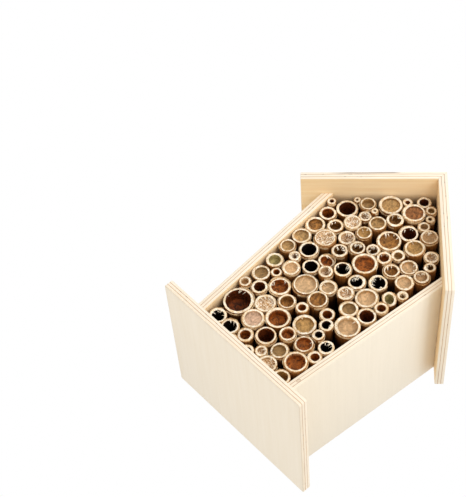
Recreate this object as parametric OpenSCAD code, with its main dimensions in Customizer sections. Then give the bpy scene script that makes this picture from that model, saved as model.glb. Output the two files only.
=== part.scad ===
// A bee and insect house: five plywood panels round a back board, packed with hollow canes.
// The house stands on its base panel, +Z up to the ridge, with the cane mouths facing -Y.
// The origin is on the ground, in the middle of the house's width and depth.

/* [Panels] */
// Thickness of the base, wall and roof plywood
ply = 5; // [3:0.5:8]
// Thickness of the back board
back_board_thickness = 5; // [3:0.5:8]
// Width of the base panel, side to side
base_width = 101; // [90:1:140]
// Depth of the base and roof panels, front to back
house_depth = 90; // [60:1:140]
// How far the base and roof reach forward of the walls
front_overhang = 12; // [0:1:25]
// Width over both walls where they stand on the base
foot_width = 72; // [55:0.5:88]
// How far each wall leans outward from upright, in degrees
wall_lean = 5; // [0:0.5:10]
// Height of the roof's inner ridge line above the base
ridge_height = 148; // [110:0.5:190]
// Slope of each roof panel below level, in degrees
roof_pitch = 45; // [37:0.5:50]
// Length of each roof panel along its inner face, ridge to eave
roof_length = 75; // [68:1:110]
// Rounding of the base panel's upright corners
corner_radius = 1; // [0.5:0.5:3]

/* [Canes] */
// Thickness of a cane's woody wall
cane_wall = 1.3; // [1:0.1:1.6]
// Gap between a cane and what it lies against
cane_gap = 0.3; // [0.1:0.05:0.4]
// How far the cane mouths lie behind the walls' front edges, on average
mouth_setback = 1.2; // [0:0.1:6]
// How far a single cane's mouth lies before or behind that average, at most
mouth_scatter = 1; // [0:0.1:2]
// How far a single cane's wall is thicker or thinner than usual, at most
wall_scatter = 0.15; // [0:0.05:0.2]
// Wood left between the deepest bore and the cane's rear end
rear_plug = 4; // [2:0.5:10]

/* [Hidden] */
$fn = 48;

// The canes in the order they are laid, course by course from the base up:
// [outer diameter, place to the right of the middle, depth of the open bore].
// The places suit a house whose foot is lay_foot wide, and spread with the foot.
lay_foot = 72;
cane_lay = [
    // on the base
    [4, -30, 40], [4, -20, 40], [5.5, -8, 40], [7.5, 2, 30], [10.5, 15.5, 4], [9.5, 26.5, 8],
    [9.5, -25, 60], [9.5, -14.5, 50], [8.5, -5.5, 7], [6.5, 7.5, 3],
    [12.5, 25, 7], [10, 13.5, 3.5], [11, 3.5, 14], [12, -10, 2.5], [16.5, -24, 12],
    [9, 10, 6], [7.5, 29, 7], [10.5, 20.5, 5.5], [13, -1, 8],
    [11.5, -13, 2], [6.5, -30.5, 5], [9, -23, 10], [8.5, 29, 60], [6.5, 22, 60],
    [12.5, 11, 3], [9.5, -5.5, 6], [7, 3, 6], [10, -29.5, 3], [7.5, 20, 60], [12, -15.5, 6.5],
    [6, -23.5, 6], [13.5, 28, 5], [8, 14.5, 8], [11, 5, 4], [9.5, -30, 5], [14, -6, 3.5],
    [9.5, -18.5, 3],
    [10, 20, 4], [10, 30, 14], [6.5, -24, 6], [9.5, 2.5, 3], [9, -32, 3], [9, 12, 4],
    [9.5, -13.5, 62], [8, -6, 5],
    [12.5, 21.5, 4], [10.5, -22, 62], [7.5, 32, 8], [9, -11, 6.5], [9.5, 0.5, 45], [9.5, 11, 48],
    [10.5, -31.5, 3], [7.5, 30.5, 8],
    [9, -10.5, 10], [12, -21, 2], [6, 34, 30], [10, 19, 60], [13.5, 6, 6], [11, -31.5, 3.5],
    [10, 29, 3], [9, -4.5, 7], [9.5, -14, 4.5], [9, 20, 5], [9, -24, 7], [7.5, 2, 9],
    [8, 10.5, 7], [9.5, -33.5, 9], [9, -9, 3.5], [9, 33, 4.5],
    [10, 23, 4], [9.5, -17.5, 3], [7.5, 14, 5], [13, 4, 4.5], [5, -37.5, 12], [12, -28.5, 14],
    [10, -8.5, 4], [6.5, 31.5, 10],
    [7, -14, 4], [11, 17.5, 3.5], [8, 27, 4], [9, -22, 5], [9.5, -3.5, 6], [10.5, 7.5, 16],
    [10, 18, 4], [13, -13, 3], [6.5, 10.5, 5], [12.5, 0.5, 2.5],
    // under the ridge
    [8, -1.5, 12], [6, 6, 4], [5, 12.5, 6]
];

// How strongly a cane keeps to its place rather than rolling to a lower pocket
hold = 2;
// The number of canes laid last that a new one can meet
near = 26;
// Allowed for rounding where a cane is tested for clearance, in millimetres
touch = 0.001;
// The laying ends when this many canes in a row find no room
most_missed = 6;
// Degrees of a sine wave from one cane to the next, so that neighbours differ
wave_step = 137.5;
// Where on that wave the first cane's mouth and its wall thickness are
mouth_turn = 0;
wall_turn = 60;
// How far a cut runs past the face that it opens
past = 1;
// The canes are shared out in order between this many nodes
cane_nodes = 47;
cane_colours = ["#d9b27a", "#c99f66"];

front = -house_depth / 2;
back = house_depth / 2;
wall_front = front + front_overhang;
board_front = back - back_board_thickness;
foot_inside = foot_width / 2 - ply / cos(wall_lean);
roof_slope = tan(roof_pitch);
lean_slope = tan(wall_lean);

// Height at which a line up the wall, starting x from the middle, meets the roof
function roof_meets(x) = (ridge_height - roof_slope * x) / (1 + roof_slope * lean_slope);

// A number from -1 to 1 that differs for each cane
function scatter(i, turn) = sin(wave_step * i + turn);

// --- Laying the canes: each is [x, height, radius with half a gap, its place in the list] ---

function grown(i) = (cane_lay[i][0] + cane_gap) / 2;

// Whether a cane of radius g at p is clear of the panels
function inside(p, g) =
    let (
        g1 = g + cane_gap / 2 - touch,
        wall = (foot_inside - abs(p[0])) * cos(wall_lean) + p[1] * sin(wall_lean),
        roof = (ridge_height - p[1]) * cos(roof_pitch) - abs(p[0]) * sin(roof_pitch)
    )
    p[1] >= g1 && wall >= g1 && roof >= g1;

// Whether it is clear of the canes laid already
function clear(p, g, laid) =
    len([for (c = laid) if (norm([c[0], c[1]] - p) < c[2] + g - touch) 1]) == 0;

// The pocket over two canes, if they are near enough to make one
function over_pair(a, b, g) =
    let (
        d = norm([b[0] - a[0], b[1] - a[1]]),
        ra = a[2] + g,
        rb = b[2] + g
    )
    d >= ra + rb || d < touch ? [] :
    let (
        along = (d * d + ra * ra - rb * rb) / (2 * d),
        up = sqrt(max(0, ra * ra - along * along)),
        u = [b[0] - a[0], b[1] - a[1]] / d,
        side = u[0] >= 0 ? 1 : -1
    )
    [[a[0] + along * u[0] - side * up * u[1], a[1] + along * u[1] + side * up * u[0]]];

// The pocket between a cane and the wall on one side: -1 is left and 1 is right
function by_wall(c, g, side) =
    let (
        n = [cos(wall_lean), sin(wall_lean)],
        u = [-sin(wall_lean), cos(wall_lean)],
        start = [-foot_inside, 0] + n * (g + cane_gap / 2),
        to_cane = [-side * c[0], c[1]] - start,
        across = to_cane * n,
        reach = pow(c[2] + g, 2) - across * across
    )
    reach < 0 ? [] :
    let (p = start + u * (to_cane * u + sqrt(reach)))
    [[-side * p[0], p[1]]];

// The places on the base against each wall
function in_corners(g) =
    let (
        h = g + cane_gap / 2,
        most = foot_inside + lean_slope * h - h / cos(wall_lean)
    )
    [[-most, h], [most, h]];

// Straight down from above at x, onto the base or the first cane met
function dropped(x, g, laid) = [[x, max(concat(
    [g + cane_gap / 2],
    [for (c = laid) if (abs(c[0] - x) < c[2] + g) c[1] + sqrt(pow(c[2] + g, 2) - pow(c[0] - x, 2))]
))]];

// The pocket beside a cane on the base
function beside(c, g, side) =
    let (
        h = g + cane_gap / 2,
        reach = pow(c[2] + g, 2) - pow(h - c[1], 2)
    )
    reach < 0 ? [] : [[c[0] + side * sqrt(reach), h]];

function pockets(laid, x, g) = concat(
    in_corners(g),
    dropped(x, g, laid),
    [for (c = laid, side = [-1, 1], p = beside(c, g, side)) p],
    [for (c = laid, side = [-1, 1], p = by_wall(c, g, side)) p],
    [for (i = [0:1:len(laid) - 2], j = [i + 1:1:len(laid) - 1], p = over_pair(laid[i], laid[j], g)) p]
);

function cost(p, x) = p[1] + hold * abs(p[0] - x);

// The best pocket for a cane, or nothing if the house has no room left for it
function best_pocket(laid, x, g) =
    let (
        top = newest(laid),
        open = [for (p = pockets(top, x, g)) if (inside(p, g) && clear(p, g, top)) p],
        fits = [for (p = open) if (clear(p, g, laid)) p],
        costs = [for (p = fits) cost(p, x)],
        least = len(fits) == 0 ? 0 : min(costs)
    )
    len(fits) == 0 ? [] : [[for (k = [0:len(fits) - 1]) if (costs[k] == least) fits[k]][0]];

function newest(laid) = len(laid) <= near ? laid : [for (k = [len(laid) - near:len(laid) - 1]) laid[k]];

// A house larger than the list fills starts the list again, until several canes in a row don't fit
function lay(tries = 0, laid = [], missed = 0) =
    missed >= most_missed ? laid :
    let (
        i = tries % len(cane_lay),
        g = grown(i),
        found = best_pocket(laid, cane_lay[i][1] * foot_width / lay_foot, g)
    )
    len(found) == 0 ? lay(tries + 1, laid, missed + 1) :
    lay(tries + 1, concat(laid, [[found[0][0], found[0][1], g, i]]), 0);

canes = lay();

function cane_name(k) = str("canes_", k < 10 ? "0" : "", k);

// --- The pieces ---

// Turns an outline in X and Z into a panel that runs from y0 to y1
module panel(y0, y1) {
    translate([0, y1, ply])
        rotate([90, 0, 0])
            linear_extrude(y1 - y0)
                children();
}

module base_panel() {
    color("#f0e5d2")
        linear_extrude(ply) {
            square([base_width, house_depth - 2 * corner_radius], center = true);
            square([base_width - 2 * corner_radius, house_depth], center = true);
            for (x = [-1, 1], y = [-1, 1])
                translate([x * (base_width / 2 - corner_radius), y * (house_depth / 2 - corner_radius)])
                    circle(corner_radius);
        }
}

module wall(side) {
    outside = foot_width / 2;
    inner_top = roof_meets(foot_inside);
    outer_top = roof_meets(outside);
    color("#efe3cb")
        scale([side, 1, 1])
            panel(wall_front, back)
                polygon([
                    [outside, 0],
                    [outside + lean_slope * outer_top, outer_top],
                    [foot_inside + lean_slope * inner_top, inner_top],
                    [foot_inside, 0]
                ]);
}

module left_wall() {
    wall(-1);
}

module right_wall() {
    wall(1);
}

module roof(side) {
    run = [cos(roof_pitch), -sin(roof_pitch)];
    rise = [sin(roof_pitch), cos(roof_pitch)];
    eave = [0, ridge_height] + roof_length * run;
    color("#ecdfc3")
        scale([side, 1, 1])
            panel(front, back)
                polygon([
                    [0, ridge_height],
                    eave,
                    eave + ply * rise,
                    [0, ridge_height + ply / cos(roof_pitch)]
                ]);
}

module left_roof() {
    roof(-1);
}

module right_roof() {
    roof(1);
}

module back_board() {
    top = roof_meets(foot_inside);
    shoulder = foot_inside + lean_slope * top;
    color("#e6d6b8")
        panel(board_front, back)
            polygon([
                [-foot_inside, 0],
                [foot_inside, 0],
                [shoulder, top],
                [0, ridge_height],
                [-shoulder, top]
            ]);
}

// One cane: a tube with a blind bore, its rear end on the back board
module cane(k) {
    x = canes[k][0];
    h = canes[k][1];
    i = canes[k][3];
    size = cane_lay[i][0];
    mouth = wall_front + mouth_setback + mouth_scatter * scatter(k, mouth_turn);
    length = board_front - mouth;
    bore = size - 2 * (cane_wall + wall_scatter * scatter(k, wall_turn));
    bore_depth = min(cane_lay[i][2], length - rear_plug);
    color(cane_colours[k % len(cane_colours)])
        translate([x, board_front, ply + h])
            rotate([90, 0, 0])
                difference() {
                    cylinder(h = length, d = size);
                    translate([0, 0, length - bore_depth])
                        cylinder(h = bore_depth + past, d = bore);
                }
}

// The share of the canes that a node holds
module cane_share(n) {
    first = floor((n - 1) * len(canes) / cane_nodes);
    last = floor(n * len(canes) / cane_nodes) - 1;
    for (k = [first:1:last])
        cane(k);
}

base_panel();
left_wall();
right_wall();
left_roof();
right_roof();
back_board();
for (n = [1:cane_nodes])
    cane_share(n);
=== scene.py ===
import math
import random

import bpy
from mathutils import Matrix, Quaternion, Vector


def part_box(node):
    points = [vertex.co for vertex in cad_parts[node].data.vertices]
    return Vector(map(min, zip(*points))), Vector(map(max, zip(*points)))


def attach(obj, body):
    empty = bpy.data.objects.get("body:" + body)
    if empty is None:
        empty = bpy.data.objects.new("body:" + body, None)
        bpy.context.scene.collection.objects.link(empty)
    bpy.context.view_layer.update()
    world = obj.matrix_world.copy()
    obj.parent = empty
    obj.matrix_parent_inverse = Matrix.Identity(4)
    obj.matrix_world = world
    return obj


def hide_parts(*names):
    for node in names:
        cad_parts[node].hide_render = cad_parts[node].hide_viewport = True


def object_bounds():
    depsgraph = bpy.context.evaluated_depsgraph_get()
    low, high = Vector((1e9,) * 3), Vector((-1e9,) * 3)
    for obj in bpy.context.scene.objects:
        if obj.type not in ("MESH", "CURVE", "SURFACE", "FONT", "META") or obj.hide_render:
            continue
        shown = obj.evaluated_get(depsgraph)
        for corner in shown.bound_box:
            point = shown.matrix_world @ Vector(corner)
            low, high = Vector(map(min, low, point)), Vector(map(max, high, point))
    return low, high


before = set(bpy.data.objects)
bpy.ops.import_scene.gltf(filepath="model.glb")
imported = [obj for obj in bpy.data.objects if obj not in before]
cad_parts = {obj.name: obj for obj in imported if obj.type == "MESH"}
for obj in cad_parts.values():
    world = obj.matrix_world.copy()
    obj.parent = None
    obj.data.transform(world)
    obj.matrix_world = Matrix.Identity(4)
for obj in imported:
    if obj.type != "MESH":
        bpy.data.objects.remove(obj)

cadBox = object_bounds()
mm = 0.001

# how the house stands, read from the CAD nodes, in metres
baseLow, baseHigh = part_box("base_panel")
wallLow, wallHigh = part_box("right_wall")
mouthPlane = wallLow.y  # the walls' front edges, close before the cane mouths
ply = baseHigh.z - baseLow.z


def linear(hexColour):
    parts = [int(hexColour[i:i + 2], 16) / 255 for i in (1, 3, 5)]
    return tuple(c / 12.92 if c <= 0.04045 else ((c + 0.055) / 1.055) ** 2.4 for c in parts) + (1.0,)


def addNode(tree, kind, settings=None, inputs=None):
    # an input goes by its name, or by its number where a node has several of one name
    node = tree.nodes.new(kind)
    for name, value in (settings or {}).items():
        if name == "stops":  # a colour ramp's places and colours
            ramp = node.color_ramp
            while len(ramp.elements) < len(value):
                ramp.elements.new(1.0)
            for element, (place, colour) in zip(ramp.elements, value):
                element.position = place
                element.color = linear(colour) if isinstance(colour, str) else (colour, colour, colour, 1.0)
        else:
            setattr(node, name, value)
    for place, value in (inputs or {}).items():
        if isinstance(value, bpy.types.NodeSocket):
            tree.links.new(value, node.inputs[place])
        else:
            node.inputs[place].default_value = value
    return node


def newMaterial(name):
    material = bpy.data.materials.new(name)
    material.use_nodes = True
    material.node_tree.nodes.clear()
    return material, material.node_tree


def deselectAll():
    if bpy.context.object and bpy.context.object.mode != "OBJECT":
        bpy.ops.object.mode_set(mode="OBJECT")
    bpy.ops.object.select_all(action="DESELECT")


def makeActive(piece):
    deselectAll()
    piece.select_set(True)
    bpy.context.view_layer.objects.active = piece


def applyModifier(piece, kind, settings):
    makeActive(piece)
    modifier = piece.modifiers.new(kind.title(), kind)
    for name, value in settings.items():
        setattr(modifier, name, value)
    bpy.ops.object.modifier_apply(modifier=modifier.name)


# camera: in front of the house and below it, and rolled
view = {
    "place": (284.52 * mm, -570.78 * mm, -206.73 * mm),
    "aim": (-50.745 * mm, -33 * mm, 47.045 * mm),
    "roll": 53.0965,  # degrees
    "lens": 91.588,
    "sensor": 36.0,
    "clip": (0.01, 20),
}

bpy.ops.object.camera_add(location=view["place"])
camera = bpy.context.object
ahead = (Vector(view["aim"]) - Vector(view["place"])).normalized()
camera.rotation_mode = "QUATERNION"
level = ahead.to_track_quat("-Z", "Y")
camera.rotation_quaternion = level @ Quaternion((0, 0, 1), math.radians(view["roll"]))
camera.data.lens = view["lens"]
camera.data.sensor_width = view["sensor"]
camera.data.clip_start, camera.data.clip_end = view["clip"]
bpy.context.scene.camera = camera
print("camera placed")

# light and floor
studio = {
    "sky": "#ffffff",
    "skyStrength": 1.0,
    "keyPlace": (1.35, -2.1, 0.25),
    "keySize": 1.8,
    "keyPower": 37.0,
    "floorSize": 3.0,
    "floorDrop": 0.3 * mm,
    "floorColours": ("#e9e6e0", "#ece9e4"),
    "cloudSize": 25 * mm,  # of the floor's faint changes of shade
    "openingMargin": -0.1 * mm,  # the floor is open under the base, so its underside is lit
}

world = bpy.data.worlds.new("studioSky")
world.use_nodes = True
bpy.context.scene.world = world
sky = world.node_tree.nodes["Background"]
sky.inputs["Color"].default_value = linear(studio["sky"])
sky.inputs["Strength"].default_value = studio["skyStrength"]
bpy.context.scene.view_settings.view_transform = "Standard"

bpy.ops.object.light_add(type="AREA", location=studio["keyPlace"])
key = bpy.context.object
key.data.size = studio["keySize"]
key.data.energy = studio["keyPower"]
houseMiddle = (cadBox[0] + cadBox[1]) / 2
key.rotation_mode = "QUATERNION"
key.rotation_quaternion = (houseMiddle - Vector(studio["keyPlace"])).to_track_quat("-Z", "Y")

# a grid of three by three, its middle square shrunk to the base's footprint and taken out
deselectAll()
bpy.ops.mesh.primitive_grid_add(
    x_subdivisions=3, y_subdivisions=3, size=studio["floorSize"],
    location=(0, 0, baseLow.z - studio["floorDrop"]), enter_editmode=True,
)
floor = bpy.context.object
floor.name = "floor"
bpy.ops.mesh.select_all(action="DESELECT")
bpy.ops.object.mode_set(mode="OBJECT")
square = studio["floorSize"] / 3
for v in floor.data.vertices:
    v.select = max(abs(v.co.x), abs(v.co.y)) < square
bpy.ops.object.mode_set(mode="EDIT")
opening = (baseHigh - baseLow + Vector((1, 1, 0)) * 2 * studio["openingMargin"]) / square
bpy.ops.transform.resize(value=(opening.x, opening.y, 1), center_override=tuple(floor.location))
bpy.ops.object.mode_set(mode="OBJECT")
for face in floor.data.polygons:
    face.select = face.center.length < 0.01 * square
bpy.ops.object.mode_set(mode="EDIT")
bpy.ops.mesh.select_mode(type="FACE")
bpy.ops.mesh.delete(type="FACE")
bpy.ops.object.mode_set(mode="OBJECT")
bpy.ops.object.transform_apply(location=True, rotation=True, scale=True)

# a matt painted studio board: even and without gloss, and clear when seen from underneath
floorMaterial, tree = newMaterial("studioBoard")
grit = addNode(tree, "ShaderNodeTexNoise", inputs={"Scale": 1 / studio["cloudSize"]})
tint = addNode(tree, "ShaderNodeValToRGB", {
    "stops": list(zip((0.3, 0.7), studio["floorColours"]))}, {"Fac": grit.outputs["Fac"]})
board = addNode(tree, "ShaderNodeBsdfDiffuse", inputs={"Color": tint.outputs["Color"]})
clear = addNode(tree, "ShaderNodeBsdfTransparent")
side = addNode(tree, "ShaderNodeNewGeometry")
mixed = addNode(tree, "ShaderNodeMixShader", inputs={
    0: side.outputs["Backfacing"], 1: board.outputs[0], 2: clear.outputs[0]})
addNode(tree, "ShaderNodeOutputMaterial", inputs={"Surface": mixed.outputs[0]})
floor.data.materials.append(floorMaterial)
print("studio built")

# plywood panels
plyLook = {
    # the base and the walls are the same birch ply; the small difference between their shades is painted
    # light and shade
    "baseVeneer": ("#e8dbc5", "#ebdfcb"),
    "wallVeneer": ("#eae0ce", "#ede3d1"),
    # the same pale ply as outside: the inner faces' tan is painted shade and painted warm bounce light
    "innerShadedVeneer": ("#f6d5a3", "#fce2b8"),
    # painted shade on the inner faces, further in
    "innerPaintedShade": "#8a623a",
    "paintedShadeDepth": (1 * mm, 13 * mm),  # behind the walls' front edges, where the inner faces darken with painted shade
    "paintedShadeInset": 4 * mm,  # the painted shade lies only inside the walls
    "pore": "#dcc8a4",
    "edgePale": ("#eddfc8", "#f3e9d8"),
    "edgeLine": ("#c99f70", "#b38a70"),
    "void": "#6b4a33",
    "knot": "#9b6b3a",
    "streakWidth": 2.5 * mm,
    "streakLength": 60 * mm,
    "poreWidth": 0.35 * mm,  # real pores are 0.1 mm wide, which would not show
    "poreLength": 4 * mm,
    "poreShare": 0.22,  # how much of the pores' colour shows
    "lineWidth": 0.11,  # of the thickness
    "lineSway": 0.04,  # of the thickness, to each side
    "swayLength": 8.33 * mm,
    "fibreLength": 11.1 * mm,
    "fibreWidth": 0.4545 * mm,
    "voidSpacing": 3.846 * mm,
    "knotSize": (1.3 * mm, 0.8 * mm),
    "shadeLineEnds": (8 * mm, 3 * mm),  # how slowly the painted shade line begins and ends
    "bevel": 0.3 * mm,
}


def alongGrain(length, width, alongX):
    # the scale of a pattern of this grain
    return (1 / length, 1 / width, 1 / width) if alongX else (1 / width, 1 / length, 1 / width)


# birch plywood's face: a veneer peeled off the log and sanded, so it is very pale, matt and almost plain,
# with soft broad streaks and fine short pores along the grain
def veneer(name, shades, turn, start, alongX, shadedInside):
    material, tree = newMaterial(name)
    coords = addNode(tree, "ShaderNodeTexCoord")
    placed = addNode(tree, "ShaderNodeMapping", {"vector_type": "TEXTURE"},
                     {"Vector": coords.outputs["Object"], "Location": start, "Rotation": (0, turn, 0)})
    streakSpace = addNode(tree, "ShaderNodeMapping", inputs={
        "Vector": placed.outputs[0],
        "Scale": alongGrain(plyLook["streakLength"], plyLook["streakWidth"], alongX)})
    streaks = addNode(tree, "ShaderNodeTexNoise", inputs={
        "Vector": streakSpace.outputs[0], "Scale": 1.0, "Detail": 4.0, "Roughness": 0.55, "Distortion": 0.3})
    shade = addNode(tree, "ShaderNodeValToRGB", {"stops": [(0.32, shades[0]), (0.68, shades[1])]},
                    {"Fac": streaks.outputs["Fac"]})
    poreSpace = addNode(tree, "ShaderNodeMapping", inputs={
        "Vector": placed.outputs[0],
        "Scale": alongGrain(plyLook["poreLength"], plyLook["poreWidth"], alongX)})
    pores = addNode(tree, "ShaderNodeTexNoise", inputs={
        "Vector": poreSpace.outputs[0], "Scale": 1.0, "Detail": 2.0})
    poreMask = addNode(tree, "ShaderNodeValToRGB", {"stops": [(0.63, 0.0), (0.75, plyLook["poreShare"])]},
                       {"Fac": pores.outputs["Fac"]})
    colour = addNode(tree, "ShaderNodeMix", {"data_type": "RGBA"}, {
        0: poreMask.outputs["Color"], 6: shade.outputs["Color"], 7: linear(plyLook["pore"])}).outputs[2]
    # painted shade: the inner faces of the walls and roof darken further in behind the front edges
    if shadedInside:
        axes = addNode(tree, "ShaderNodeSeparateXYZ", inputs={"Vector": coords.outputs["Object"]})
        depth = addNode(tree, "ShaderNodeMapRange", inputs={
            "Value": axes.outputs["Y"], "From Min": mouthPlane + plyLook["paintedShadeDepth"][0],
            "From Max": mouthPlane + plyLook["paintedShadeDepth"][1]})
        offMiddle = addNode(tree, "ShaderNodeMath", {"operation": "ABSOLUTE"}, {0: axes.outputs["X"]})
        edge = wallHigh.x - plyLook["paintedShadeInset"]
        inside = addNode(tree, "ShaderNodeMapRange", inputs={
            "Value": offMiddle.outputs[0], "From Min": edge, "From Max": edge - 1 * mm})
        share = addNode(tree, "ShaderNodeMath", {"operation": "MULTIPLY"},
                        {0: depth.outputs[0], 1: inside.outputs[0]})
        colour = addNode(tree, "ShaderNodeMix", {"data_type": "RGBA"}, {
            0: share.outputs[0], 6: colour, 7: linear(plyLook["innerPaintedShade"])}).outputs[2]
    bump = addNode(tree, "ShaderNodeBump", inputs={
        "Strength": 0.12, "Distance": 0.05 * mm, "Height": streaks.outputs["Fac"]})
    surface = addNode(tree, "ShaderNodeBsdfPrincipled", inputs={
        "Base Color": colour, "Roughness": 0.62, "Normal": bump.outputs[0]})
    addNode(tree, "ShaderNodeOutputMaterial", inputs={"Surface": surface.outputs[0]})
    return material


# birch plywood's edge, sawn and left raw: three pale plies with the grain, and between them two thin tan
# lines, a cross ply and its glue, with a dark gap here and there
def sawnEdge(name, turn, start, shadeLine, knot):
    material, tree = newMaterial(name)
    coords = addNode(tree, "ShaderNodeTexCoord")
    placed = addNode(tree, "ShaderNodeMapping", {"vector_type": "TEXTURE"},
                     {"Vector": coords.outputs["Object"], "Location": start, "Rotation": (0, turn, 0)})
    wobble = addNode(tree, "ShaderNodeTexNoise", inputs={
        "Vector": placed.outputs[0], "Scale": 1 / plyLook["swayLength"], "Detail": 2.0})
    sway = addNode(tree, "ShaderNodeMapRange", inputs={
        "Value": wobble.outputs["Fac"], "To Min": -plyLook["lineSway"], "To Max": plyLook["lineSway"]})
    axes = addNode(tree, "ShaderNodeSeparateXYZ", inputs={"Vector": placed.outputs[0]})
    across = addNode(tree, "ShaderNodeMath", {"operation": "MULTIPLY_ADD"},
                     {0: axes.outputs["Z"], 1: 1 / ply, 2: sway.outputs[0]})
    half = plyLook["lineWidth"] / 2
    bands = addNode(tree, "ShaderNodeValToRGB", {"stops": [
        (0.0, 0.25), (0.04, 0.0), (0.33 - half, 0.0), (0.33, 1.0), (0.33 + half, 0.0),
        (0.67 - half, 0.0), (0.67, 1.0), (0.67 + half, 0.0), (0.96, 0.0), (1.0, 0.25)]},
        {"Fac": across.outputs[0]})
    fibreScale = (1 / plyLook["fibreLength"], 1 / plyLook["fibreLength"], 1 / plyLook["fibreWidth"])
    grainSpace = addNode(tree, "ShaderNodeMapping", inputs={"Vector": placed.outputs[0], "Scale": fibreScale})
    grain = addNode(tree, "ShaderNodeTexNoise", inputs={
        "Vector": grainSpace.outputs[0], "Scale": 1.0, "Detail": 3.0})
    pale = addNode(tree, "ShaderNodeValToRGB", {"stops": list(zip((0.3, 0.7), plyLook["edgePale"]))},
                   {"Fac": grain.outputs["Fac"]})
    line = addNode(tree, "ShaderNodeValToRGB", {"stops": list(zip((0.35, 0.65), plyLook["edgeLine"]))},
                   {"Fac": wobble.outputs["Fac"]})
    banded = addNode(tree, "ShaderNodeMix", {"data_type": "RGBA"}, {
        0: bands.outputs["Color"], 6: pale.outputs["Color"], 7: line.outputs["Color"]})
    voidNoise = addNode(tree, "ShaderNodeTexNoise", inputs={
        "Vector": placed.outputs[0], "Scale": 1 / plyLook["voidSpacing"], "Detail": 1.0})
    voidSpots = addNode(tree, "ShaderNodeValToRGB", {"stops": [(0.66, 0.0), (0.70, 0.8)]},
                        {"Fac": voidNoise.outputs["Fac"]})
    voids = addNode(tree, "ShaderNodeMath", {"operation": "MULTIPLY"},
                    {0: voidSpots.outputs["Color"], 1: bands.outputs["Color"]})
    colour = addNode(tree, "ShaderNodeMix", {"data_type": "RGBA"}, {
        0: voids.outputs[0], 6: banded.outputs[2], 7: linear(plyLook["void"])}).outputs[2]
    spread = addNode(tree, "ShaderNodeSeparateXYZ", inputs={"Vector": coords.outputs["Object"]})
    if shadeLine:  # a dark line of painted shade beside the outer face, from one place across the house to another
        begun = addNode(tree, "ShaderNodeMapRange", inputs={
            "Value": spread.outputs["X"], "From Min": shadeLine[0],
            "From Max": shadeLine[0] + plyLook["shadeLineEnds"][0]})
        ended = addNode(tree, "ShaderNodeMapRange", inputs={
            "Value": spread.outputs["X"], "From Min": shadeLine[1],
            "From Max": shadeLine[1] - plyLook["shadeLineEnds"][1]})
        outer = addNode(tree, "ShaderNodeValToRGB", {"stops": [
            (0.78, 0.0), (0.83, 1.0), (0.88, 1.0), (0.93, 0.0)]}, {"Fac": across.outputs[0]})
        shadeStretch = addNode(tree, "ShaderNodeMath", {"operation": "MULTIPLY"},
                         {0: begun.outputs[0], 1: ended.outputs[0]})
        seen = addNode(tree, "ShaderNodeMath", {"operation": "MULTIPLY"},
                       {0: shadeStretch.outputs[0], 1: outer.outputs[0]})
        colour = addNode(tree, "ShaderNodeMix", {"data_type": "RGBA"}, {
            0: seen.outputs[0], 6: colour, 7: linear(plyLook["void"])}).outputs[2]
    if knot:  # a pin knot in the middle ply, this high
        high, thick = plyLook["knotSize"]
        lift = addNode(tree, "ShaderNodeMath", {"operation": "MULTIPLY_ADD"},
                       {0: spread.outputs["Z"], 1: 1 / high, 2: -knot / high})
        over = addNode(tree, "ShaderNodeMath", {"operation": "MULTIPLY_ADD"},
                       {0: across.outputs[0], 1: ply / thick, 2: -0.5 * ply / thick})
        spot = addNode(tree, "ShaderNodeCombineXYZ", inputs={0: lift.outputs[0], 1: over.outputs[0]})
        away = addNode(tree, "ShaderNodeVectorMath", {"operation": "LENGTH"}, {0: spot.outputs[0]})
        ring = addNode(tree, "ShaderNodeValToRGB", {"stops": [
            (0.3, 0.25), (0.6, 0.15), (0.8, 0.9), (1.0, 0.0)]}, {"Fac": away.outputs["Value"]})
        colour = addNode(tree, "ShaderNodeMix", {"data_type": "RGBA"}, {
            0: ring.outputs["Color"], 6: colour, 7: linear(plyLook["knot"])}).outputs[2]
    bump = addNode(tree, "ShaderNodeBump", {"invert": True}, {
        "Strength": 0.5, "Distance": 0.1 * mm, "Height": bands.outputs["Color"]})
    surface = addNode(tree, "ShaderNodeBsdfPrincipled", inputs={
        "Base Color": colour, "Roughness": 0.75, "Normal": bump.outputs[0]})
    addNode(tree, "ShaderNodeOutputMaterial", inputs={"Surface": surface.outputs[0]})
    return material


def innerFace(node, sideSign):
    # which way the inner face of a leaning panel looks, and its middle: its largest face towards the canes
    best = None
    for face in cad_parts[node].data.polygons:
        if abs(face.normal.y) < 0.1 and face.normal.x * sideSign < -0.05:
            if best is None or face.area > best.area:
                best = face
    return best.normal.copy(), best.center.copy()


panels = {  # a leaning panel names its side of the house, and another one the way that its outside looks
    "basePanel": {"node": "base_panel", "outward": (0, 0, -1), "shades": "baseVeneer", "alongX": False,
                  "inside": "baseVeneer", "clean": True},
    "leftWall": {"node": "left_wall", "lean": -1, "shades": "wallVeneer", "alongX": False},
    "rightWall": {"node": "right_wall", "lean": 1, "shades": "wallVeneer", "alongX": False,
                  "knot": baseHigh.z + 9.6 * mm},
    "leftRoof": {"node": "left_roof", "lean": -1, "shades": "wallVeneer", "alongX": True,
                 # a painted shade line along the left roof's edge
                 "shadeLine": (-46 * mm, -17 * mm)},
    "rightRoof": {"node": "right_roof", "lean": 1, "shades": "wallVeneer", "alongX": True},
    "backBoard": {"node": "back_board", "outward": (0, 1, 0), "shades": "wallVeneer", "alongX": True},
}


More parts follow.
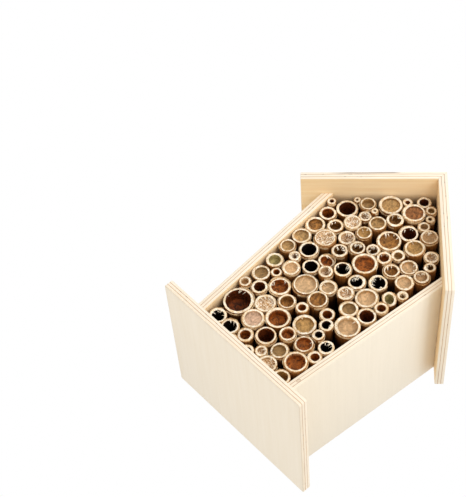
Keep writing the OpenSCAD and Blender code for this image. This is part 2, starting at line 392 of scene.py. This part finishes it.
def makePanel(name, plan):
    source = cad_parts[plan["node"]]
    if "lean" in plan:
        inward, start = innerFace(plan["node"], plan["lean"])
        outward = -inward
        turn = math.atan2(outward.x, outward.z)  # the panel's thickness becomes the pattern's Z
    else:
        outward = Vector(plan["outward"])
        start = Vector((0, 0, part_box(plan["node"])[0].z))
        turn = 0
    piece = bpy.data.objects.new(name, source.data.copy())
    bpy.context.scene.collection.objects.link(piece)
    makeActive(piece)
    piece.data.materials.clear()
    bpy.ops.object.mode_set(mode="EDIT")
    bpy.ops.mesh.select_all(action="SELECT")
    bpy.ops.mesh.remove_doubles(threshold=0.01 * mm)
    bpy.ops.mesh.dissolve_limited(angle_limit=math.radians(1))
    bpy.ops.object.mode_set(mode="OBJECT")
    applyModifier(piece, "BEVEL", {
        "width": plyLook["bevel"], "segments": 2, "limit_method": "ANGLE", "angle_limit": math.radians(30)})
    inner = plyLook[plan.get("inside", "innerShadedVeneer")]
    for material in (
        veneer(name + "Veneer", plyLook[plan["shades"]], turn, start, plan["alongX"], False),
        sawnEdge(name + "Edge", turn, start, plan.get("shadeLine"), plan.get("knot")),
        veneer(name + "InnerVeneer", inner, turn, start, plan["alongX"], "clean" not in plan),
    ):
        piece.data.materials.append(material)
    for face in piece.data.polygons:
        facing = face.normal.dot(outward)
        face.material_index = 0 if facing > 0.9 else 2 if facing < -0.9 else 1
    makeActive(piece)
    bpy.ops.object.shade_smooth_by_angle(angle=math.radians(35))
    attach(piece, "root")
    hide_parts(plan["node"])


for name, plan in panels.items():
    makePanel(name, plan)
print("panels made:", len(panels))

# canes, numbered from 0 in the order they are laid, from the base up
caneShape = {
    "sides": 48,
    "filling": 0.08 * mm,  # how much of the gap round its CAD tube a cane fills, before its lumps
    "unevenness": 0.3 * mm,  # the lumps
    "lumpSize": 4 * mm,
    "oval": 0.04,
    "nodeRise": 0.12 * mm,  # the ring that a cane has at each node of the plant
    "nodeWidth": 1.2 * mm,
    "nodePlace": (8, 40),  # mm behind the mouth
    "tip": 3 * mm,  # the length behind the mouth that follows a slanting cut
    "rimEdge": 0.5 * mm,  # the length behind the mouth that the saw roughens
    "rimRound": 0.12 * mm,
    "rindWidth": 0.2 * mm,
    "innerRound": 0.1 * mm,
    "leastWood": 0.9 * mm,  # of a cane that stands out of its sheath
    "seamDepth": 0.3 * mm,  # the seam between a sheath and its cane
    "offCentre": 0.2,  # how far a bore lies off the middle, as a share of the wood round it
    "roughness": 0.18 * mm,  # of the sawn rim
    "tilt": 3.0,  # degrees that a saw cut may be off square
    "boreSteps": (0.6, 1.3, 2.5, 4, 6, 9, 13, 18, 26, 40),  # mm behind the mouth
    "hollow": 0.55,  # how deep the pith is dished, as a share of the bore's radius
    "dishRings": (0.9, 0.75, 0.55, 0.3),  # as shares of the bore's radius
    "crumble": (0.02, 0.3),  # mm that a ring of the dish stands proud
    "pinch": 0.45,  # of a notched bore
    "seed": 7,
}
caneTones = {
    # the black bores are the deep ones: their dark wall and pith are painted shade
    "black": [6, 7, 22, 23, 28, 43, 46, 49, 50, 56],
    "umber": [12, 14, 21, 38, 73, 74, 82, 87],
    "rust": [2, 8, 10, 15, 16, 17, 18, 26, 29, 30, 32, 47, 48, 57, 65, 66, 92],
    "brown": [3, 25, 33, 53, 58, 60, 62, 63, 64, 72, 76, 81, 89],
    "tan": [41, 51, 71, 75, 80, 84],
    "honey": [5, 24, 67, 78, 88],
    "russet": [86],
    "olive": [11, 27, 37],
    "moss": [34, 52],
    "rosy": [13, 39],
    "flaky": [4, 9, 19, 42, 44, 54, 61, 70, 77, 79, 91],
    "pith": [],  # every other cane
}
toneLooks = {  # the bore's wall near the mouth and deep down, darker deep down as painted shade, the pith that closes it, and how blotchy it is
    # painted shade: the deep black bores' dark wall and pith
    "black": {"near": "#4a2c1c", "deep": "#140b07", "pith": "#120a06", "blotch": 0.3},
    "umber": {"near": "#a85c1c", "deep": "#5c280a", "pith": "#7f3b0c", "blotch": 0.8},
    "rust": {"near": "#e2b585", "deep": "#914b16", "pith": "#a35c20", "blotch": 0.75},
    "brown": {"near": "#dcb078", "deep": "#865826", "pith": "#a57136", "blotch": 0.65},
    "tan": {"near": "#cba572", "deep": "#a47a47", "pith": "#bd9660", "blotch": 0.45},
    "honey": {"near": "#cba66b", "deep": "#a0753e", "pith": "#b88f55", "blotch": 0.4},
    "russet": {"near": "#b08154", "deep": "#805229", "pith": "#9d6639", "blotch": 0.6},
    "olive": {"near": "#bf9f74", "deep": "#947347", "pith": "#a48152", "blotch": 0.35},
    "moss": {"near": "#c9b880", "deep": "#aa9862", "pith": "#b7a56c", "blotch": 0.35},
    "rosy": {"near": "#dcbe9c", "deep": "#b89676", "pith": "#c8a68a", "blotch": 0.35},
    "flaky": {"near": "#e3c49c", "deep": "#caa57a", "pith": "#cfa676", "blotch": 0.3,
              # pale flakes, and dark brown painted shadow among them
              "paleFlakesAndShadow": ("#faefdc", "#6b4020")},
    "pith": {"near": "#e6caa4", "deep": "#bb9362", "pith": "#d0ac80", "blotch": 0.28},
}
toneOf = {k: tone for tone, ks in caneTones.items() for k in ks}
frayed = {  # how many torn fibres hang at a cane's mouth
    4: 6, 6: 8, 7: 4, 9: 6, 14: 4, 17: 1, 19: 9, 22: 4, 24: 2, 29: 4, 31: 2, 36: 2, 39: 8, 40: 1, 42: 3,
    44: 4, 48: 2, 49: 4, 50: 6, 53: 14, 54: 8, 55: 5, 56: 9, 60: 14, 61: 7, 62: 2, 63: 2, 64: 12, 65: 2,
    67: 2, 68: 8, 69: 3, 70: 6, 72: 6, 76: 4, 77: 6, 78: 2, 79: 6, 81: 5, 82: 3, 83: 9,
}
sheathed = {  # canes still in a leaf sheath: mm that it is thick and ends below the mouth, and its thin side
    10: (0.3, 0.7, 60), 11: (0.5, 0.8, 100), 15: (0.3, 0.5, 120), 17: (0.5, 0.8, 150), 21: (0.3, 0.6, 30),
    25: (0.3, 0.6, 90), 29: (0.3, 0.5, 45), 33: (0.4, 0.7, 60), 35: (1.0, 1.3, 60), 41: (0.5, 0.6, 90),
    45: (0.3, 0.5, 120), 54: (0.4, 0.6, 120), 60: (0.5, 0.8, 60), 62: (0.4, 0.9, 80), 67: (0.5, 1.1, 120),
    68: (0.7, 1.2, 160), 69: (0.4, 0.7, 20), 75: (0.4, 0.9, 45), 80: (0.5, 0.6, 90), 83: (0.6, 1.0, 100),
}
slanted = {48: (22, 40), 52: (26, -30)}  # sawn askew: by how many degrees, and towards which side
notched = {28: 20}  # a bore pinched in on one side

skinLook = {
    "shades": ("#84501f", "#9d622b", "#ba7d3f"),
    # painted shade between the canes
    "gapShade": "#3a2110",
    "gapShadeDepth": (0.5 * mm, 10 * mm),  # behind the walls' front edges, where the painted shade between the canes begins and is full
    "streakWidth": 0.625 * mm,  # real fibres are finer, which would not show
    "streakLength": 16.67 * mm,
}


# the dried woody skin of garden cane: smooth and a little shiny, orange brown with long streaks, and
# darker further in with painted shade, where the canes lie close together
def caneSkin():
    material, tree = newMaterial("caneSkin")
    coords = addNode(tree, "ShaderNodeTexCoord")
    space = addNode(tree, "ShaderNodeMapping", inputs={
        "Vector": coords.outputs["Object"],
        "Scale": alongGrain(skinLook["streakLength"], skinLook["streakWidth"], False)})
    streaks = addNode(tree, "ShaderNodeTexNoise", inputs={
        "Vector": space.outputs[0], "Scale": 1.0, "Detail": 3.0})
    shade = addNode(tree, "ShaderNodeValToRGB", {"stops": list(zip((0.3, 0.5, 0.7), skinLook["shades"]))},
                    {"Fac": streaks.outputs["Fac"]})
    axes = addNode(tree, "ShaderNodeSeparateXYZ", inputs={"Vector": coords.outputs["Object"]})
    # painted shade: the skin darkens further in, where the canes lie close
    depth = addNode(tree, "ShaderNodeMapRange", inputs={
        "Value": axes.outputs["Y"], "From Min": mouthPlane + skinLook["gapShadeDepth"][0],
        "From Max": mouthPlane + skinLook["gapShadeDepth"][1]})
    colour = addNode(tree, "ShaderNodeMix", {"data_type": "RGBA"}, {
        0: depth.outputs[0], 6: shade.outputs["Color"], 7: linear(skinLook["gapShade"])}).outputs[2]
    bump = addNode(tree, "ShaderNodeBump", inputs={
        "Strength": 0.3, "Distance": 0.05 * mm, "Height": streaks.outputs["Fac"]})
    surface = addNode(tree, "ShaderNodeBsdfPrincipled", inputs={
        "Base Color": colour, "Roughness": 0.42, "Normal": bump.outputs[0]})
    addNode(tree, "ShaderNodeOutputMaterial", inputs={"Surface": surface.outputs[0]})
    return material


woodLook = {  # each finish has the darker and the paler wood, and its fibre bundles
    "rim": ("#e8cb9d", "#fff6e4", "#946636"),
    # the rind's dark brown is partly its own colour and partly painted shadow of the gap round each cane
    "rind": ("#a8743e", "#dcb47c", "#70441f"),
    "sheath": ("#d0a66f", "#f3dcb4", "#9a6a3a"),
    "fibre": ("#f2e2c6", "#fbf3e2", "#dcc096"),
    "bundleSpacing": 0.7692 * mm,  # real bundles lie closer, which would not show
    "cloudSize": 1.923 * mm,
    "caneSpacing": 9.09 * mm,
    "brightness": (0.86, 1.08),  # differs from cane to cane
}


# cane wood that was sawn or torn and left raw: matt, pale and cloudy, dotted with fibre bundles
def caneWood(name, shades):
    material, tree = newMaterial(name)
    coords = addNode(tree, "ShaderNodeTexCoord")
    dots = addNode(tree, "ShaderNodeTexVoronoi", inputs={
        "Vector": coords.outputs["Object"], "Scale": 1 / woodLook["bundleSpacing"]})
    spots = addNode(tree, "ShaderNodeValToRGB", {"stops": [(0.12, 0.75), (0.4, 0.0)]},
                    {"Fac": dots.outputs["Distance"]})
    cloud = addNode(tree, "ShaderNodeTexNoise", inputs={
        "Vector": coords.outputs["Object"], "Scale": 1 / woodLook["cloudSize"], "Detail": 4.0})
    shade = addNode(tree, "ShaderNodeValToRGB", {"stops": [(0.35, shades[0]), (0.65, shades[1])]},
                    {"Fac": cloud.outputs["Fac"]})
    spotted = addNode(tree, "ShaderNodeMix", {"data_type": "RGBA"}, {
        0: spots.outputs["Color"], 6: shade.outputs["Color"], 7: linear(shades[2])})
    each = addNode(tree, "ShaderNodeTexNoise", inputs={
        "Vector": coords.outputs["Object"], "Scale": 1 / woodLook["caneSpacing"]})
    bright = addNode(tree, "ShaderNodeMapRange", inputs={
        "Value": each.outputs["Fac"], "From Min": 0.3, "From Max": 0.7,
        "To Min": woodLook["brightness"][0], "To Max": woodLook["brightness"][1]})
    colour = addNode(tree, "ShaderNodeHueSaturation", inputs={
        "Color": spotted.outputs[2], "Value": bright.outputs[0]})
    bump = addNode(tree, "ShaderNodeBump", inputs={
        "Strength": 0.5, "Distance": 0.08 * mm, "Height": dots.outputs["Distance"]})
    surface = addNode(tree, "ShaderNodeBsdfPrincipled", inputs={
        "Base Color": colour.outputs[0], "Roughness": 0.8, "Normal": bump.outputs[0]})
    addNode(tree, "ShaderNodeOutputMaterial", inputs={"Surface": surface.outputs[0]})
    return material


boreLook = {
    "streakWidth": 0.6667 * mm,
    "streakLength": 5 * mm,
    "deepening": (0.5 * mm, 4.5 * mm),  # where the bore wall turns from its near colour to its darker deep one, a painted shade
    "patchSize": 1.786 * mm,
    "caneSpacing": 7.14 * mm,
    "brightness": (0.85, 1.12),  # differs from cane to cane
    "mottleSize": 1.111 * mm,
    "flakeSize": 1.786 * mm,
}


def blotched(tree, coords, colour, amount):
    # a colour with darker and lighter patches, and a little different from cane to cane
    patches = addNode(tree, "ShaderNodeTexNoise", inputs={
        "Vector": coords.outputs["Object"], "Scale": 1 / boreLook["patchSize"], "Detail": 5.0,
        "Roughness": 0.6, "Distortion": 0.8})
    bright = addNode(tree, "ShaderNodeMapRange", inputs={
        "Value": patches.outputs["Fac"], "From Min": 0.36, "From Max": 0.64,
        "To Min": 1 - amount, "To Max": 1 + amount * 0.7})
    shaded = addNode(tree, "ShaderNodeHueSaturation", inputs={"Color": colour, "Value": bright.outputs[0]})
    each = addNode(tree, "ShaderNodeTexNoise", inputs={
        "Vector": coords.outputs["Object"], "Scale": 1 / boreLook["caneSpacing"]})
    lift = addNode(tree, "ShaderNodeMapRange", inputs={
        "Value": each.outputs["Fac"], "From Min": 0.35, "From Max": 0.65,
        "To Min": boreLook["brightness"][0], "To Max": boreLook["brightness"][1]})
    return addNode(tree, "ShaderNodeHueSaturation", inputs={
        "Color": shaded.outputs[0], "Value": lift.outputs[0]}).outputs[0]


# the inside of a dried cane, grown and not cut: papery, with a faint sheen, streaked along the cane, and
# paler near the mouth than deep down, where the darkening is painted shade
def boreWall(name, look):
    material, tree = newMaterial(name)
    coords = addNode(tree, "ShaderNodeTexCoord")
    axes = addNode(tree, "ShaderNodeSeparateXYZ", inputs={"Vector": coords.outputs["Object"]})
    # painted shade: the wall darkens with depth behind the mouth
    depth = addNode(tree, "ShaderNodeMapRange", inputs={
        "Value": axes.outputs["Y"], "From Min": mouthPlane + boreLook["deepening"][0],
        "From Max": mouthPlane + boreLook["deepening"][1]})
    space = addNode(tree, "ShaderNodeMapping", inputs={
        "Vector": coords.outputs["Object"],
        "Scale": alongGrain(boreLook["streakLength"], boreLook["streakWidth"], False)})
    streaks = addNode(tree, "ShaderNodeTexNoise", inputs={
        "Vector": space.outputs[0], "Scale": 1.0, "Detail": 4.0})
    blend = addNode(tree, "ShaderNodeMath", {"operation": "MULTIPLY_ADD"},
                    {0: streaks.outputs["Fac"], 1: 0.9, 2: depth.outputs[0]})
    shade = addNode(tree, "ShaderNodeValToRGB", {"stops": [(0.35, look["near"]), (0.9, look["deep"])]},
                    {"Fac": blend.outputs[0]})
    colour = blotched(tree, coords, shade.outputs["Color"], look["blotch"])
    bump = addNode(tree, "ShaderNodeBump", inputs={
        "Strength": 0.4, "Distance": 0.1 * mm, "Height": streaks.outputs["Fac"]})
    surface = addNode(tree, "ShaderNodeBsdfPrincipled", inputs={
        "Base Color": colour, "Roughness": 0.45, "Normal": bump.outputs[0]})
    addNode(tree, "ShaderNodeOutputMaterial", inputs={"Surface": surface.outputs[0]})
    return material


# the dried pith that closes a bore: spongy, matt and mottled, and in some canes broken into pale flakes, with
# dark brown painted shadow among them
def borePith(name, look):
    material, tree = newMaterial(name)
    coords = addNode(tree, "ShaderNodeTexCoord")
    colour = blotched(tree, coords, linear(look["pith"]), look["blotch"])
    if "paleFlakesAndShadow" in look:
        torn = addNode(tree, "ShaderNodeTexNoise", inputs={
            "Vector": coords.outputs["Object"], "Scale": 1 / boreLook["flakeSize"], "Detail": 3.0,
            "Distortion": 2.2})
        # pale flakes, then dark brown patches as painted shadow
        for stops, patchColour in zip(([(0.5, 0.0), (0.58, 0.95)], [(0.36, 0.9), (0.44, 0.0)]), look["paleFlakesAndShadow"]):
            share = addNode(tree, "ShaderNodeValToRGB", {"stops": stops}, {"Fac": torn.outputs["Fac"]})
            colour = addNode(tree, "ShaderNodeMix", {"data_type": "RGBA"}, {
                0: share.outputs["Color"], 6: colour, 7: linear(patchColour)}).outputs[2]
    mottle = addNode(tree, "ShaderNodeTexNoise", inputs={
        "Vector": coords.outputs["Object"], "Scale": 1 / boreLook["mottleSize"], "Detail": 4.0,
        "Roughness": 0.65})
    bump = addNode(tree, "ShaderNodeBump", inputs={
        "Strength": 0.8, "Distance": 0.25 * mm, "Height": mottle.outputs["Fac"]})
    surface = addNode(tree, "ShaderNodeBsdfPrincipled", inputs={
        "Base Color": colour, "Roughness": 0.85, "Normal": bump.outputs[0]})
    addNode(tree, "ShaderNodeOutputMaterial", inputs={"Surface": surface.outputs[0]})
    return material


skinMaterial = caneSkin()
rimMaterial = caneWood("caneRim", woodLook["rim"])  # the sawn end
rindMaterial = caneWood("caneRind", woodLook["rind"])  # the hard brown rind round it, its dark brown partly painted shadow of the gap round the cane
sheathMaterial = caneWood("leafSheath", woodLook["sheath"])  # dry leaf sheath, papery and tan
fibreMaterial = caneWood("caneFibre", woodLook["fibre"])  # torn fibres, nearly white
wallMaterials = {tone: boreWall(tone + "Bore", look) for tone, look in toneLooks.items()}
pithMaterials = {tone: borePith(tone + "Pith", look) for tone, look in toneLooks.items()}


def readCanes(node):
    # each loose tube of a CAD node: where it stands, how wide it and its bore are, and where they end
    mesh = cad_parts[node].data
    keys = {}
    owner = []
    for v in mesh.vertices:
        spot = tuple(round(c / (0.002 * mm)) for c in v.co)
        owner.append(keys.setdefault(spot, len(keys)))
    parent = list(range(len(keys)))

    def find(a):
        while parent[a] != a:
            parent[a] = parent[parent[a]]
            a = parent[a]
        return a

    for face in mesh.polygons:
        corners = [owner[i] for i in face.vertices]
        for c in corners[1:]:
            parent[find(c)] = find(corners[0])
    groups = {}
    for v in mesh.vertices:
        groups.setdefault(find(owner[v.index]), []).append(v.co)
    found = []
    for points in groups.values():
        low = [min(p[i] for p in points) for i in range(3)]
        high = [max(p[i] for p in points) for i in range(3)]
        x, z = (low[0] + high[0]) / 2, (low[2] + high[2]) / 2
        radius = (high[0] - low[0]) / 2
        inner = [p for p in points if math.hypot(p.x - x, p.z - z) < radius - 0.5 * mm]
        bore = max(math.hypot(p.x - x, p.z - z) for p in inner)
        found.append({"x": x, "z": z, "radius": radius, "mouth": low[1], "rear": high[1],
                      "bore": bore, "boreEnd": max(p.y for p in inner)})
    return found


def growOut(length, grow=1, centre=None, aside=0):
    # one more length of a tube, widened or narrowed at its far end and moved aside
    bpy.ops.mesh.extrude_region_move(TRANSFORM_OT_translate={"value": (aside, length, 0)})
    if grow != 1:
        bpy.ops.transform.resize(value=(grow, 1, grow), center_override=centre)


fibreShape = {
    "radius": 0.36 * mm,
    "flatness": 0.4,
    "lengths": ((0.3 * mm, 0.85), (0.4 * mm, 0.7), (0.4 * mm, 0.6), (0.5 * mm, 0.2)),  # and narrowings
    "curl": 0.12,
    "side": (120, 50),  # degrees round the mouth, their middle and spread: most hang at the upper left
    "reach": (0.9, 1.0),  # of the bore's radius
    "depth": (0.05, 0.8),  # mm behind the mouth
    "lean": (10, 75),  # degrees towards the middle of the mouth
    "twist": (-50, 50),
    "width": (0.5, 1.3),
    "length": (0.4, 1.3),
    "fullBore": 2.6 * mm,  # in a narrower bore the fibres are shorter
    "longest": 1.2,
}


def makeSliver():
    # one torn fibre: a flat strip that narrows to a point and curls in, its root at the origin
    deselectAll()
    bpy.ops.mesh.primitive_circle_add(
        vertices=5, radius=fibreShape["radius"], fill_type="NGON", rotation=(-math.pi / 2, 0, 0),
        enter_editmode=True)
    bpy.ops.mesh.select_all(action="SELECT")
    bpy.ops.transform.resize(value=(fibreShape["flatness"], 1, 1), center_override=(0, 0, 0))
    at = 0
    curl = 0
    for step, grow in fibreShape["lengths"]:
        at += step
        aside = -fibreShape["curl"] * at
        curl += aside
        growOut(step, grow, (curl, at, 0), aside)
    bpy.ops.mesh.select_all(action="SELECT")
    bpy.ops.mesh.normals_make_consistent(inside=False)
    bpy.ops.object.mode_set(mode="OBJECT")
    bpy.ops.object.transform_apply(location=True, rotation=True, scale=True)
    sliver = bpy.context.object
    sliver.data.materials.append(fibreMaterial)
    return sliver


def hangFibres(cane, count, luck):
    # torn fibres round the mouth
    hung = []
    for i in range(count):
        side = math.radians(luck.gauss(*fibreShape["side"]))
        reach = cane["bore"] * luck.uniform(*fibreShape["reach"])
        place = Vector((cane["x"] + reach * math.cos(side),
                        cane["mouth"] + luck.uniform(*fibreShape["depth"]) * mm,
                        cane["z"] + reach * math.sin(side)))
        lean = math.radians(luck.uniform(*fibreShape["lean"]))
        twist = math.radians(luck.uniform(*fibreShape["twist"]))
        size = luck.uniform(*fibreShape["width"])
        length = luck.uniform(*fibreShape["length"])
        length *= min(fibreShape["longest"], cane["bore"] / fibreShape["fullBore"])
        turned = Matrix.Rotation(-side + twist, 4, "Y") @ Matrix.Rotation(lean, 4, "Z")
        fibre = bpy.data.objects.new("fibre", sliver.data.copy())
        bpy.context.scene.collection.objects.link(fibre)
        fibre.matrix_world = Matrix.Translation(place) @ turned @ Matrix.Diagonal((size, length, size, 1))
        hung.append(fibre)
    return hung


stripShape = {
    "sides": 36,
    "cutAt": 0.45 * mm,  # what lies beyond this is kept, on a circle of 1 mm radius
    "flare": 1.03,
    "thickness": 0.04 * mm,
    "count": (2, 4),
    "clearance": (-0.02, 0.14),  # mm off the cane
    "depth": (1.6, 2.6),  # mm behind the mouth
    "skew": (-4, 4),  # degrees
    "tear": (-0.15, 0.25),  # mm that a point of the front edge stands off it
    "length": 1.5,
}


def makeStrip():
    # a strip of dry leaf sheath round a third of a cane of 1 mm radius, and 1 mm long
    deselectAll()
    bpy.ops.mesh.primitive_circle_add(
        vertices=stripShape["sides"], radius=1 * mm, fill_type="NOTHING", rotation=(math.pi / 2, 0, 0),
        enter_editmode=True)
    bpy.ops.mesh.select_mode(type="VERT")
    bpy.ops.mesh.select_all(action="DESELECT")
    bpy.ops.object.mode_set(mode="OBJECT")
    bpy.ops.object.transform_apply(location=True, rotation=True, scale=True)
    strip = bpy.context.object
    for v in strip.data.vertices:
        v.select = v.co.x < stripShape["cutAt"]
    bpy.ops.object.mode_set(mode="EDIT")
    bpy.ops.mesh.delete(type="VERT")
    bpy.ops.mesh.select_all(action="SELECT")
    growOut(-1 * mm, stripShape["flare"], (0, 0, 0))
    bpy.ops.mesh.select_mode(type="FACE")
    bpy.ops.mesh.select_all(action="SELECT")
    bpy.ops.mesh.normals_make_consistent(inside=False)
    bpy.ops.object.mode_set(mode="OBJECT")
    applyModifier(strip, "SOLIDIFY", {"thickness": stripShape["thickness"], "offset": 0.0})
    strip.data.materials.append(sheathMaterial)
    return strip


def wrapSheath(cane, luck):
    # strips of leaf sheath that cling to a cane just behind its mouth, their front edges ragged
    wrapped = []
    for i in range(luck.randint(*stripShape["count"])):
        wide = (cane["radius"] + luck.uniform(*stripShape["clearance"]) * mm) / mm
        place = Vector((cane["x"], cane["mouth"] + luck.uniform(*stripShape["depth"]) * mm, cane["z"]))
        around = Matrix.Rotation(luck.uniform(0, math.tau), 4, "Y")
        turned = around @ Matrix.Rotation(math.radians(luck.uniform(*stripShape["skew"])), 4, "X")
        piece = bpy.data.objects.new("sheath", strip.data.copy())
        bpy.context.scene.collection.objects.link(piece)
        for v in piece.data.vertices:
            if v.co.y < -0.9 * mm:
                v.co.y += luck.uniform(*stripShape["tear"]) * mm
        stretched = Matrix.Diagonal((wide, stripShape["length"], wide, 1))
        piece.matrix_world = Matrix.Translation(place) @ turned @ stretched
        wrapped.append(piece)
    return wrapped


def makeCane(name, k, cane, luck):
    deselectAll()
    x, z, bore = cane["x"], cane["z"], cane["bore"]
    radius = cane["radius"] + caneShape["filling"]
    mouth, rear, boreEnd = cane["mouth"], cane["rear"], cane["boreEnd"]
    bpy.ops.mesh.primitive_circle_add(
        vertices=caneShape["sides"], radius=radius, fill_type="NGON",
        location=(x, rear, z), rotation=(math.pi / 2, luck.uniform(0, math.tau), 0), enter_editmode=True,
    )
    piece = bpy.context.object
    piece.name = name
    bpy.ops.mesh.select_all(action="SELECT")
    # forward along the outside, over a node ring, towards the mouth
    at = rear
    ring = mouth + luck.uniform(*caneShape["nodePlace"]) * mm
    bulge = 1 + caneShape["nodeRise"] / radius
    for goal, grow in ((ring + caneShape["nodeWidth"], 1), (ring, bulge),
                       (ring - caneShape["nodeWidth"], 1 / bulge), (mouth + caneShape["tip"], 1)):
        growOut(goal - at, grow, (x, goal, z))
        at = goal
    rimX, rimZ, rimRadius = x, z, radius
    if k in sheathed:  # the sheath ends short of the mouth, and the cane stands on out of it
        thick, drop, thinSide = sheathed[k]
        growOut(mouth + drop * mm - at)
        at = mouth + drop * mm
        bpy.ops.mesh.inset(thickness=thick * 0.5 * mm)
        thin = math.radians(thinSide)
        shift = Vector((math.cos(thin), math.sin(thin))) * thick * 0.45 * mm
        bpy.ops.transform.translate(value=(shift.x, 0, shift.y))
        rimX, rimZ = x + shift.x, z + shift.y
        rimRadius = radius - thick * mm * 0.5
        growOut(caneShape["seamDepth"], 0.99, (rimX, at, rimZ))
        growOut(-caneShape["seamDepth"], 1 / 0.99, (rimX, at, rimZ))
        bore = min(bore, rimRadius - caneShape["leastWood"])
    for goal, grow in ((mouth + caneShape["rimEdge"], 1), (mouth + caneShape["rimRound"], 1),
                       (mouth, 1 - caneShape["rimRound"] / rimRadius)):
        growOut(goal - at, grow, (rimX, goal, rimZ))
        at = goal
    # the sawn rim: a thin rind, then the pale wood, then over the inner edge
    bpy.ops.mesh.inset(thickness=caneShape["rindWidth"])
    wood = rimRadius - caneShape["rimRound"] - caneShape["rindWidth"] - bore - caneShape["innerRound"]
    bpy.ops.mesh.inset(thickness=wood / 2)
    bpy.ops.mesh.inset(thickness=wood / 2)
    offX = luck.uniform(-caneShape["offCentre"], caneShape["offCentre"]) * wood
    offZ = luck.uniform(-caneShape["offCentre"], caneShape["offCentre"]) * wood
    bpy.ops.transform.translate(value=(offX, 0, offZ))
    boreX, boreZ = rimX + offX, rimZ + offZ
    growOut(caneShape["innerRound"], 1 - caneShape["innerRound"] / bore, (boreX, mouth, boreZ))
    at = mouth + caneShape["innerRound"]
    # down the bore, and its end dished and crumbled
    bowl = min(caneShape["hollow"] * bore, 0.5 * (boreEnd - mouth))
    for step in caneShape["boreSteps"]:
        if mouth + step * mm < boreEnd - bowl - 0.5 * mm:
            growOut(mouth + step * mm - at)
            at = mouth + step * mm
    growOut(boreEnd - bowl - at)
    at = boreEnd - bowl
    share = 1
    for nextShare in caneShape["dishRings"]:
        bpy.ops.mesh.inset(thickness=bore * (share - nextShare))
        share = nextShare
        goal = boreEnd - bowl * (1 - math.sqrt(1 - share ** 2)) - luck.uniform(*caneShape["crumble"]) * mm
        bpy.ops.transform.translate(value=(0, goal - at, 0))
        at = goal
    bpy.ops.mesh.poke()
    bpy.ops.mesh.select_all(action="SELECT")
    bpy.ops.mesh.normals_make_consistent(inside=False)
    bpy.ops.transform.resize(
        value=(1 - luck.random() * caneShape["oval"], 1, 1 - luck.random() * caneShape["oval"]),
        center_override=(x, mouth, z))
    bpy.ops.object.mode_set(mode="OBJECT")
    bpy.ops.object.transform_apply(location=True, rotation=True, scale=True)
    tone = toneOf.get(k, "pith")
    for material in (skinMaterial, rindMaterial, rimMaterial, wallMaterials[tone], pithMaterials[tone]):
        piece.data.materials.append(material)
    for face in piece.data.polygons:  # all other faces keep the skin
        c = face.center
        out = math.hypot(c.x - boreX, c.z - boreZ)
        if c.y > rear - 0.1 * mm:
            face.material_index = 2
        elif out < bore - 0.02 * mm and c.y > boreEnd - bowl - 0.1 * mm and abs(face.normal.y) > 0.4:
            face.material_index = 4
        elif out < bore + 0.05 * mm and c.y < boreEnd and abs(face.normal.y) < 0.9:
            face.material_index = 3
        elif c.y < mouth + 1.5 * mm and face.normal.y < -0.5:
            face.material_index = 1 if math.hypot(c.x - rimX, c.z - rimZ) > rimRadius - 0.3 * mm else 2
    # the saw's marks on the rim, and the cut a little off square
    angle, towards = slanted.get(k, (luck.uniform(0, caneShape["tilt"]), luck.uniform(0, 360)))
    for v in piece.data.vertices:
        v.select = v.co.y < mouth + caneShape["rimEdge"] - 0.1 * mm
    bpy.ops.object.mode_set(mode="EDIT")
    bpy.ops.transform.vertex_random(offset=caneShape["roughness"], seed=k)
    bpy.ops.object.mode_set(mode="OBJECT")
    slope = math.tan(math.radians(angle))
    slopeX = slope * math.cos(math.radians(towards))
    slopeZ = slope * math.sin(math.radians(towards))
    for v in piece.data.vertices:
        fade = max(0.0, 1 - (v.co.y - mouth) / caneShape["tip"])
        rise = slopeX * (v.co.x - x) + slopeZ * (v.co.z - z) + radius * slope
        v.co.y += rise * fade
        if k in notched and math.hypot(v.co.x - x, v.co.z - z) < bore + 0.2 * mm:
            around = math.atan2(v.co.z - z, v.co.x - x) - math.radians(notched[k])
            kept = 1 - caneShape["pinch"] * max(0.0, math.cos(around)) ** 6
            v.co.x, v.co.z = x + (v.co.x - x) * kept, z + (v.co.z - z) * kept
    return piece


lumps = bpy.data.textures.new("caneLumps", "CLOUDS")
lumps.noise_scale = caneShape["lumpSize"]

sliver = makeSliver()
strip = makeStrip()
luck = random.Random(caneShape["seed"])
laid = 0
for node in sorted(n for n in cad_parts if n.startswith("canes_")):
    canes = []
    loose = []
    for cane in readCanes(node):
        part = makeCane("cane" + str(laid), laid, cane, luck)
        applyModifier(part, "DISPLACE", {
            "texture": lumps, "texture_coords": "LOCAL", "mid_level": 0.5,
            "strength": caneShape["unevenness"]})
        canes.append(part)
        loose += hangFibres(cane, frayed.get(laid, 0), luck)
        loose += wrapSheath(cane, luck)
        laid += 1
    deselectAll()
    for part in canes + loose:
        part.select_set(True)
    bpy.context.view_layer.objects.active = canes[0]
    bpy.ops.object.join()  # each cane has strips, so there is always something to join
    piece = bpy.context.view_layer.objects.active
    piece.name = node.replace("canes_", "canes")
    makeActive(piece)
    bpy.ops.object.shade_smooth_by_angle(angle=math.radians(40))
    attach(piece, "root")
    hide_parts(node)
bpy.data.objects.remove(sliver)
bpy.data.objects.remove(strip)
print("canes made:", laid)
